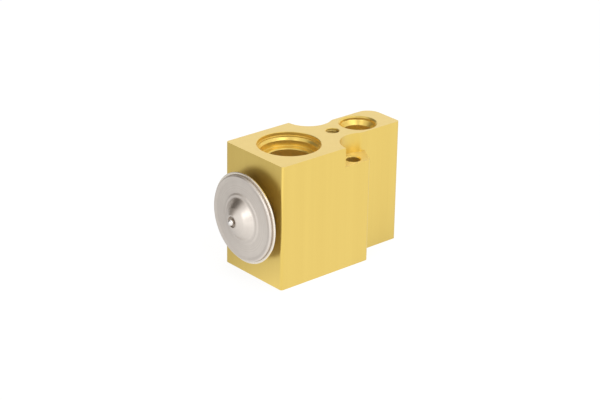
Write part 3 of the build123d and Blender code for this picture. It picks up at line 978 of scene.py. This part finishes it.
@dataclass
class PowerElement:
    """The stainless head: two pressed covers welded at the rim, and the ball in the dome."""

    head_r: float = 17.8
    plate_r: float = 16.8
    dome_r: float = 8.3
    crest: float = 10.5
    crater_r: float = 2.25
    crater_floor: float = -10.0
    ball_r: float = 1.25
    ball_at: float = -10.89
    seam_at: float = -4.8
    # Bounds of the painted shade on the back cover's back.
    matt_from: float = -4.05
    matt_r: float = 17.55
    weld_r: float = 16.78
    weld_scale: float = 0.22
    weld_scales: int = 420

    def steel(self, name: str, colours: Colours, roughness: float) -> Material:
        """Pressed and tumbled stainless sheet."""
        return MetalFinish(
            name, *colours, roughness, 0.05, bump=0.12, fineness=2200.0, marks=0.6).material()

    def front_cover(self) -> Object:
        """Turn the front cover.

        Returns:
            The stepped face with its dome and filling crater.
        """
        corners = [
            (-9.9, 0.8), (-10.15, 1.05), (-10.15, 1.9), (-self.crest, 2.2), (-self.crest, 2.7, 0.2),
            (-9.072, 5.5, 4.0), (-6.3, self.dome_r, 1.6), (-6.3, 9.3, 0.8), (-5.95, 10.1, 0.8),
            (-5.65, 15.0, 0.3), (-5.9, 16.1, 0.3), (-5.9, self.plate_r, 0.5), (-4.9, self.plate_r, 0.2),
            (-4.9, 15.325, 0.3), (-5.0, 14.675, 0.3), (-5.3, 9.575, 0.3), (-5.65, 9.225, 0.3),
            (-5.65, 7.975, 0.2), (-8.422, 5.175, 0.65), (-9.25, 2.525), (-9.25, 0.8),
        ]
        steel = self.steel("power_element_face", FACE_STEEL, 0.36)
        cover = turned("power_element_front", corners, VALVE_AXIS, steel, HEAD_SEGMENTS)
        # The crater round the filling ball is painted darker: painted shade where the ball shades its recess.
        tint = self.tinted("crater_painted_shade")
        paint_part(cover, tint, lambda along, radius: radius < self.crater_r and along < self.crater_floor)
        return cover

    def back_cover(self) -> Object:
        """Turn the back cover.

        Returns:
            The deeper cover behind the weld, its rim band a lighter steel as painted highlight and its back a
            darker, rougher steel as painted shade.
        """
        corners = [
            (0, 8.48), (0, 12.8, 0.3), (-0.6, 13.4, 0.3), (-4.0, 16.9, 0.5), (-4.0, self.head_r, 0.2),
            (-4.7, self.head_r, 0.2), (-4.7, 15.2, 0.3), (-3.5, 15.0, 0.3), (-1.2, 12.2), (-1.2, 8.48),
        ]
        # The back cover's steel is lighter than the face's steel: a painted highlight on its rim band.
        steel = self.steel("power_element_band_highlight", BAND_STEEL, 0.24)
        cover = turned("power_element_back", corners, VALVE_AXIS, steel, HEAD_SEGMENTS)
        # The back of the back cover is painted darker as painted shade, so the block's face mirrors a dark
        # disc back.
        matt = MetalFinish("painted_shade_steel", *PICKLED_STEEL, 0.5, 0.06, bump=0.2).material()
        paint_part(cover, matt, lambda along, radius: along > self.matt_from and radius < self.matt_r)
        return cover

    def tinted(self, name: str) -> Material:
        """Dark steel: the weld's own tint on the seam, and painted shade in the crater round the ball."""
        return MetalFinish(name, *TINTED_STEEL, 0.38, 0.08, bump=0.2).material()

    def weld(self, scales: WeldTree) -> Object:
        """Lay the weld's scales.

        Args:
            scales: the tree that makes them.

        Returns:
            The seam between the two covers.
        """
        sizes = {
            "Radius": self.weld_r, "Scale Size": self.weld_scale, "Count": self.weld_scales, "Seed": 4}
        return scales.bake("rim_weld", axis_from(self.seam_at), sizes, self.tinted("weld_tint"))

    def filling_ball(self) -> Object:
        """Turn the ball that is welded into the filling hole.

        Returns:
            The ball.
        """
        count = 24
        turns = [math.pi * k / count for k in range(count + 1)]
        arc = [(self.ball_at - self.ball_r * math.cos(turn), self.ball_r * math.sin(turn)) for turn in turns]
        steel = MetalFinish("filling_ball_steel", *BALL_STEEL, 0.2, 0.04, bump=0.05).material()
        return turned("filling_ball", arc, VALVE_AXIS, steel, SMALL_SEGMENTS)

    def dress(self, scales: WeldTree) -> None:
        """Put the head's pieces on the block's body.

        Args:
            scales: the tree that makes the weld.
        """
        report(self.front_cover(), "valve_block", "power_element", "head_front_cover")
        report(self.back_cover(), "valve_block", "power_element", "head_back_cover")
        report(self.weld(scales), "valve_block", "power_element")
        report(self.filling_ball(), "valve_block", "ball_steel", "charge_ball")


@dataclass
class InnerParts:
    """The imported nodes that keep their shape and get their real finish."""

    screw_thread_from: float = 61.9
    screw_thread: ThreadSize = ThreadSize(6.30, 2.4, 1.0, 0.22)

    def dress(self, coils: CoilTree) -> None:
        """Give each kept node its material and the adjusting screw its thread.

        Args:
            coils: the tree that makes the thread.
        """
        kept = {
            MetalFinish("spring_wire", *SPRING_STEEL, 0.28, 0.05): (
                "diaphragm", "valve_spring", "damping_ring", "rod_seal_retainer"),
            MetalFinish("turned_steel_bar", *BAR_STEEL, 0.30, 0.06): (
                "head_neck", "push_rod", "ball_carrier"),
            MetalFinish("ground_ball", *BEARING_STEEL, 0.12, 0.03): ("valve_ball",),
            MetalFinish("turned_aluminium", *ALUMINIUM, 0.32, 0.06): ("sensing_rod",),
            MetalFinish("turned_brass", *BRASS, 0.30, 0.06): ("diaphragm_stop", "adjusting_screw"),
            RubberFinish("seal_rubber_black"): ("head_seal_ring", "rod_seal_ring", "adjuster_seal_ring"),
        }
        for finish, nodes in kept.items():
            material = finish.material()
            for node in nodes:
                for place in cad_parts[node].material_slots:
                    place.material = material
                log.info("%s keeps its packed shape, finish %s", node, material.name)
        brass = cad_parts["adjusting_screw"].material_slots[0].material
        thread = coils.thread("adjuster_thread", axis_from(self.screw_thread_from), self.screw_thread, brass)
        report(thread, "adjuster", "turned_brass")


@dataclass(frozen=True)
class Softbox:
    """One softbox that faces the object.

    It stands at an azimuth from +X and an elevation, in degrees, as far off as its reach in metres. Its width
    and height are angles seen from the object, and a glow of 1 is white.
    """

    name: str
    azimuth: float
    elevation: float
    wide: float
    tall: float
    glow: float
    reach: float = 1.2

    def hang(self) -> None:
        """Put the light in its place."""
        data = bpy.data.lights.new(self.name, "AREA")
        data.shape = "RECTANGLE"
        data.size, data.size_y = (
            2 * self.reach * math.tan(math.radians(a / 2)) for a in (self.wide, self.tall))
        data.energy = self.glow * math.pi * data.size * data.size_y
        lamp = new_object(self.name, data)
        a, e = math.radians(self.azimuth), math.radians(self.elevation)
        out = Vector((math.cos(a) * math.cos(e), math.sin(a) * math.cos(e), math.sin(e)))
        lamp.location = out * self.reach
        lamp.rotation_euler = out.to_track_quat("Z", "Y").to_euler()


@dataclass
class Studio:
    """Pale floor, soft light and the photograph's camera.

    A brighter or darker field lies round each of its directions.
    """

    azimuth: float = -40.996
    elevation: float = 23.621
    roll: float = 0.958
    place: tuple[float, float, float] = (-0.43664, -0.50927, 0.32036)
    lens: float = 115.38
    front_side: Direction = (-0.15, -0.99, 0.0)
    near_corner: Direction = (-0.76, -0.65, 0.0)
    blend_side: Direction = (0.10, -0.995, 0.0)
    dark_side: Direction = (-0.30, 0.95, 0.0)
    dark_corner: Direction = (-0.340, 0.805, 0.486)
    dark_reach: tuple[float, float] = (0.79, 0.93)
    camera_side: Direction = (-0.502, -0.582, 0.640)
    floor_half: float = 6000.0
    floor_drop: float = 0.02
    floor_grey: float = 0.14
    floor_white: float = 0.90
    corner_glow: float = 0.58
    blend_glow: float = 0.5
    gloom: float = 0.75
    warm: Colour = (1.0, 0.86, 0.72)
    bright_below: float = 0.52
    dim_above: float = 0.75
    softboxes: tuple[Softbox, ...] = (
        Softbox("left_box", -160.0, 30.0, 18.0, 40.0, 1.7),
        Softbox("right_box", -101.0, 47.0, 26.0, 26.0, 1.9),
        Softbox("low_box", -76.0, 24.0, 16.0, 26.0, 2.4),
    )

    def floor_light(self, nodes: Nodes, place: NodeSocket) -> NodeSocket:
        """Light of the floor as the metal sees it.

        Args:
            nodes: the floor material's nodes.
            place: object coordinates.

        Returns:
            A strength that grows towards the camera, with two brighter fields and one dark one.
        """
        reach = nodes.math("ADD", nodes.vector("LENGTH", place, output=1), 0.02)
        front, corner, blend, back = (
            nodes.math("DIVIDE", nodes.vector("DOT_PRODUCT", place, side, output=1), reach)
            for side in (self.front_side, self.near_corner, self.blend_side, self.dark_side)
        )
        behind = nodes.span(reach, 0.05, 0.14, 0.54, 0.68)
        lit = nodes.span(front, -0.6, 0.35, behind, 1.03)
        lit = nodes.math("MULTIPLY_ADD", nodes.span(corner, 0.75, 1.0), self.corner_glow, lit)
        lit = nodes.math("MULTIPLY_ADD", nodes.span(blend, 0.93, 0.99), self.blend_glow, lit)
        far = nodes.span(reach, 0.26, 0.45)
        gloom = nodes.math("MULTIPLY", nodes.span(back, 0.35, 0.85, 0.0, self.gloom), far)
        return nodes.math("MULTIPLY", lit, nodes.math("SUBTRACT", 1.0, gloom))

    def floor(self) -> None:
        """A wide pale floor just under the block.

        The camera sees it almost white, and the metal sees it in a soft gradient.
        """
        mesh = bmesh.new()
        bmesh.ops.create_grid(mesh, x_segments=1, y_segments=1, size=self.floor_half)
        bmesh.ops.translate(mesh, vec=(0, 0, -self.floor_drop), verts=mesh.verts)
        paint, nodes, shader, coordinates = new_material("pale_floor")
        grey = (*[self.floor_grey] * 3, 1)
        nodes.fill(shader, {"Base Color": grey, "Roughness": 0.9, "Specular IOR Level": 0.0})
        light = self.floor_light(nodes, coordinates.outputs["Object"])
        glow = nodes.add("ShaderNodeEmission", {"Strength": light})
        white = nodes.add("ShaderNodeEmission", {"Strength": self.floor_white})
        seen = nodes.add("ShaderNodeAddShader", {0: shader.outputs[0], 1: white.outputs[0]})
        direct = nodes.add("ShaderNodeLightPath").outputs["Is Camera Ray"]
        both = nodes.add("ShaderNodeMixShader", {0: direct, 1: glow.outputs[0], 2: seen.outputs[0]})
        nodes.fill(paint.node_tree.nodes["Material Output"], {"Surface": both.outputs[0]})
        finished_object("floor", mesh, paint)

    def sky(self) -> None:
        """Bright round the horizon and dimmer overhead in the metal, plain white for the camera."""
        world = bpy.data.worlds.new("soft_room")
        bpy.context.scene.world = world
        world.use_nodes = True
        nodes = Nodes(world.node_tree)
        place = nodes.add("ShaderNodeTexCoord").outputs["Generated"]
        height = nodes.add("ShaderNodeSeparateXYZ", {0: place}).outputs["Z"]
        corner, front = (
            nodes.vector("DOT_PRODUCT", place, way, output=1) for way in (self.dark_corner, self.camera_side))
        dark = nodes.span(corner, *self.dark_reach, 1.0, 0.08)
        shade = nodes.math("MULTIPLY", dark, nodes.span(front, 0.6, 0.9, 1.0, 0.65))
        room = nodes.span(height, self.bright_below, self.dim_above, 1.06, 0.96)
        direct = nodes.add("ShaderNodeLightPath").outputs["Is Camera Ray"]
        nodes.fill(world.node_tree.nodes["Background"], {
            "Strength": nodes.mix(direct, nodes.math("MULTIPLY", room, shade), 1.0),
            "Color": nodes.mix_colours(nodes.span(corner, *self.dark_reach), (1, 1, 1), self.warm),
        })

    def camera(self) -> None:
        """The photograph's camera, solved from the block's corners."""
        a, e, r = (math.radians(x) for x in (self.azimuth, self.elevation, self.roll))
        back = Vector((math.sin(a) * math.cos(e), -math.cos(a) * math.cos(e), math.sin(e)))
        right = Vector((math.cos(a), math.sin(a), 0.0))
        up = back.cross(right)
        turned_right = right * math.cos(r) + up * math.sin(r)
        turned_up = up * math.cos(r) - right * math.sin(r)
        data = bpy.data.cameras.new("photo_camera")
        data.lens, data.sensor_width, data.clip_start = self.lens, 36.0, 0.01
        eye = new_object("photo_camera", data)
        pose = Matrix((turned_right, turned_up, back)).transposed().to_4x4()
        pose.translation = Vector(self.place)
        eye.matrix_world = pose
        bpy.context.scene.camera = eye

    def dress(self) -> None:
        """Set up the whole studio."""
        self.floor()
        self.sky()
        self.camera()
        for box in self.softboxes:
            box.hang()
        settings = bpy.context.scene.view_settings
        settings.view_transform, settings.look = "Standard", "None"


def main() -> None:
    """Dress every piece and set up the studio."""
    logging.basicConfig(level=logging.INFO, format="%(name)s: %(message)s")
    coils = CoilTree()
    ValveBlock().dress(coils)
    PowerElement().dress(WeldTree())
    InnerParts().dress(coils)
    Studio().dress()


if __name__ == "__main__":
    main()
